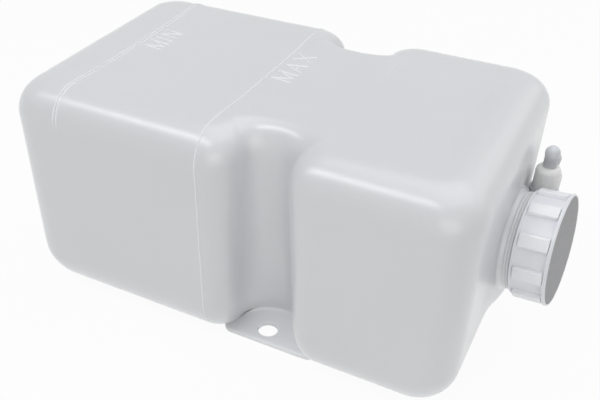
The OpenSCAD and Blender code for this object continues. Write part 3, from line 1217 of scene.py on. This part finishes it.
@dataclass
class Reservoir:
    """The whole reservoir."""

    form: TankForm = field(default_factory=TankForm)

    def build(self) -> None:
        """Builds every piece and dresses the CAD nodes that stay."""
        neck = FillerNeck(self.form)
        shell = self._shell(neck)
        piece("reservoir_shell", shell, NATURAL, Body.TANK, ["tank_body"], others=[RAISED_PAINTED_LIGHT])
        cap = FillerCap(neck).mesh()
        piece("screw_cap", cap, CAP_WHITE, Body.CAP, ["filler_cap"], others=[CAP_FACE_PAINTED_SHADE, CAP_RIB_PAINTED_LIGHT])
        HosePort(self.form, "near", 45 * MM, 71 * MM, Body.NEAR_DUST_CAP).build()
        HosePort(self.form, "far", 61.6 * MM, 58.4 * MM, Body.FAR_DUST_CAP).build()
        for node in ("cap_seal", "port_grommet_near", "port_grommet_far"):
            self._dress(node, SEAL_RUBBER)

    def _shell(self, neck: FillerNeck) -> BMesh:
        """Joins the moulded body's parts: hollow skin, ridges, words, lugs and neck."""
        form = self.form
        skin = form.skin(0.0)
        drape = Drape(skin)
        min_lines = ((-1.0 * MM, 0.5 * MM), (1.2 * MM, 0.45 * MM))
        raised = [
            LevelRidge(form, -99 * MM, min_lines, False).mesh(drape),
            LevelRidge(form, -10 * MM, ((0.0, 0.45 * MM),), True).mesh(drape),
            LevelWord("MIN", (-82.5 * MM, -1.5 * MM), 27 * MM, 12 * MM).mesh(drape),
            LevelWord("MAX", (5.2 * MM, -5 * MM), 36 * MM, 11.5 * MM).mesh(drape),
            *(BoltLug(form, side).mesh() for side in Side),
        ]
        lines = joined(raised)
        # The raised lines, words, lugs and lug fillets take material 1: a painted highlight on the lines, and
        # painted light on the lugs in the channel's shade.
        for face in lines.faces:
            face.material_index = 1
        inside = replace(form, corner_steps=5, shoulder_steps=5, floor_steps=18, edge_steps=7, face_steps=8)
        hollow = carved(skin, [inside.skin(form.wall), neck.plug()])
        return joined([hollow, lines, neck.mesh()])

    @staticmethod
    def _dress(node: str, finish: MouldedPlastic) -> None:
        """Gives a CAD node its finish."""
        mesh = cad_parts[node].data
        mesh.materials.clear()
        mesh.materials.append(finish.material())
        log.info("%s keeps its CAD shape", node)


# Studio

KEY_WHITE = (0.96, 0.98, 1.0)
FLOOR_HALF = 4.0
FLOOR_COLOUR = (0.9, 0.9, 0.9, 1.0)
FLOOR_ROUGHNESS = 0.9


@dataclass(frozen=True)
class PhotoCamera:
    """The photograph's camera, in degrees and millimetres, with centre and focal length in pixels."""

    azimuth: float = 27.69
    elevation: float = 37.61
    roll: float = -0.09
    distance: float = 612.45
    target: Place = (-46.99, 63.67, -34.04)
    focal: float = 794.09
    centre: Point = (264.0, 240.87)
    photo_size: Point = (600.0, 400.0)
    sensor: float = 36.0

    def build(self) -> None:
        """Makes the camera and looks through it."""
        data = bpy.data.cameras.new("photo_camera")
        camera = added("photo_camera", data)
        a = math.radians(self.azimuth)
        e = math.radians(self.elevation)
        back = Vector((math.sin(a) * math.cos(e), -math.cos(a) * math.cos(e), math.sin(e)))
        roll = Matrix.Rotation(math.radians(self.roll), 3, "Z")
        gaze = Euler((math.pi / 2 - e, 0.0, a)).to_matrix() @ roll
        place = (Vector(self.target) + back * self.distance) * MM
        camera.matrix_world = Matrix.Translation(place) @ gaze.to_4x4()
        data.sensor_width = self.sensor
        data.lens = self.focal * self.sensor / self.photo_size[0]
        data.shift_x = (self.photo_size[0] / 2 - self.centre[0]) / self.photo_size[0]
        data.shift_y = (self.centre[1] - self.photo_size[1] / 2) / self.photo_size[0]
        data.clip_start = 0.01
        bpy.context.scene.camera = camera


@dataclass(frozen=True)
class SoftLamp:
    """A large rectangular lamp."""

    name: str
    place: Place
    size: Point
    power: float
    colour: Colour
    aim: Place = (0.0, 0.0, 0.07)

    def build(self) -> None:
        """Makes the lamp."""
        data = bpy.data.lights.new(self.name, "AREA")
        data.shape = "RECTANGLE"
        data.size, data.size_y = self.size
        data.energy = self.power
        data.color = self.colour
        lamp = added(self.name, data)
        lamp.location = self.place
        aim = Vector(self.aim) - Vector(self.place)
        lamp.rotation_euler = aim.to_track_quat("-Z", "Y").to_euler()


def maths(
    tree: bpy.types.NodeTree, operation: str, a: bpy.types.NodeSocket, b: bpy.types.NodeSocket | float
) -> bpy.types.NodeSocket:
    """Adds a maths node on two values.

    Args:
        tree: The node tree.
        operation: Its operation.
        a: The first value.
        b: The second value, as a socket or a number.

    Returns:
        The result's socket.
    """
    node = tree.nodes.new("ShaderNodeMath")
    node.operation = operation
    tree.links.new(a, node.inputs[0])
    if isinstance(b, float):
        node.inputs[1].default_value = b
    else:
        tree.links.new(b, node.inputs[1])
    return node.outputs[0]


@dataclass
class Studio:
    """Pale floor, white surroundings and soft lamps."""

    lamps: tuple[SoftLamp, ...] = (
        SoftLamp("key_lamp", (-0.45, -0.55, 1.15), (1.0, 0.18), 5.0, KEY_WHITE, (-0.35, 0.0, 0.07)),
        SoftLamp("top_lamp", (0.2, 0.3, 1.4), (1.4, 1.4), 7.5, (0.965, 0.98, 1.0)),
        SoftLamp("front_lamp", (0.75, -1.3, 0.4), (1.2, 1.2), 6.0, (1.0, 0.985, 0.965)),
        SoftLamp("back_lamp", (0.9, 1.0, 0.9), (1.2, 1.2), 3.0, (0.98, 0.99, 1.0)),
    )
    world_level: float = 0.26
    floor_show: float = 0.94

    def build(self) -> None:
        """Makes the floor, the surroundings, the lamps and the camera."""
        scene = bpy.context.scene
        scene.view_settings.view_transform = "Standard"
        self._world(scene)
        self._floor()
        for lamp in self.lamps:
            lamp.build()
        PhotoCamera().build()

    def _world(self, scene: bpy.types.Scene) -> None:
        """White for what the camera and reflections see, and a plain level of light for the rest."""
        world = bpy.data.worlds.new("studio")
        scene.world = world
        world.use_nodes = True
        tree = world.node_tree
        nodes = tree.nodes
        links = tree.links
        nodes.clear()
        path = nodes.new("ShaderNodeLightPath").outputs
        seen = maths(tree, "MAXIMUM", path["Is Camera Ray"], path["Is Transmission Ray"])
        shown = maths(tree, "MAXIMUM", seen, path["Is Glossy Ray"])
        level = nodes.new("ShaderNodeMapRange")
        level.inputs["To Min"].default_value = self.world_level
        level.inputs["To Max"].default_value = 1.0
        links.new(shown, level.inputs["Value"])
        light = nodes.new("ShaderNodeBackground")
        links.new(level.outputs["Result"], light.inputs["Strength"])
        out = nodes.new("ShaderNodeOutputWorld")
        links.new(light.outputs["Background"], out.inputs["Surface"])

    def _floor(self) -> None:
        """A pale floor, as bright as the surroundings where no shadow falls."""
        bm = bmesh.new()
        bmesh.ops.create_grid(bm, x_segments=1, y_segments=1, size=FLOOR_HALF)
        mesh = as_mesh("studio_floor", bm)
        mat = bpy.data.materials.new("pale_floor")
        mat.use_nodes = True
        tree = mat.node_tree
        nodes = tree.nodes
        links = tree.links
        shader = nodes["Principled BSDF"]
        shader.inputs["Base Color"].default_value = FLOOR_COLOUR
        shader.inputs["Roughness"].default_value = FLOOR_ROUGHNESS
        path = nodes.new("ShaderNodeLightPath").outputs
        seen = maths(tree, "MAXIMUM", path["Is Camera Ray"], path["Is Glossy Ray"])
        share = maths(tree, "MULTIPLY", seen, self.floor_show)
        white = nodes.new("ShaderNodeEmission")
        blend = nodes.new("ShaderNodeMixShader")
        links.new(share, blend.inputs[0])
        links.new(shader.outputs["BSDF"], blend.inputs[1])
        links.new(white.outputs["Emission"], blend.inputs[2])
        links.new(blend.outputs["Shader"], nodes["Material Output"].inputs["Surface"])
        mat.cycles.emission_sampling = "NONE"
        mesh.materials.append(mat)
        floor = added("studio_floor", mesh)


def main() -> None:
    """Builds the reservoir and its studio."""
    logging.basicConfig(level=logging.INFO, format="%(name)s %(message)s")
    Reservoir().build()
    Studio().build()


if __name__ == "__main__":
    main()
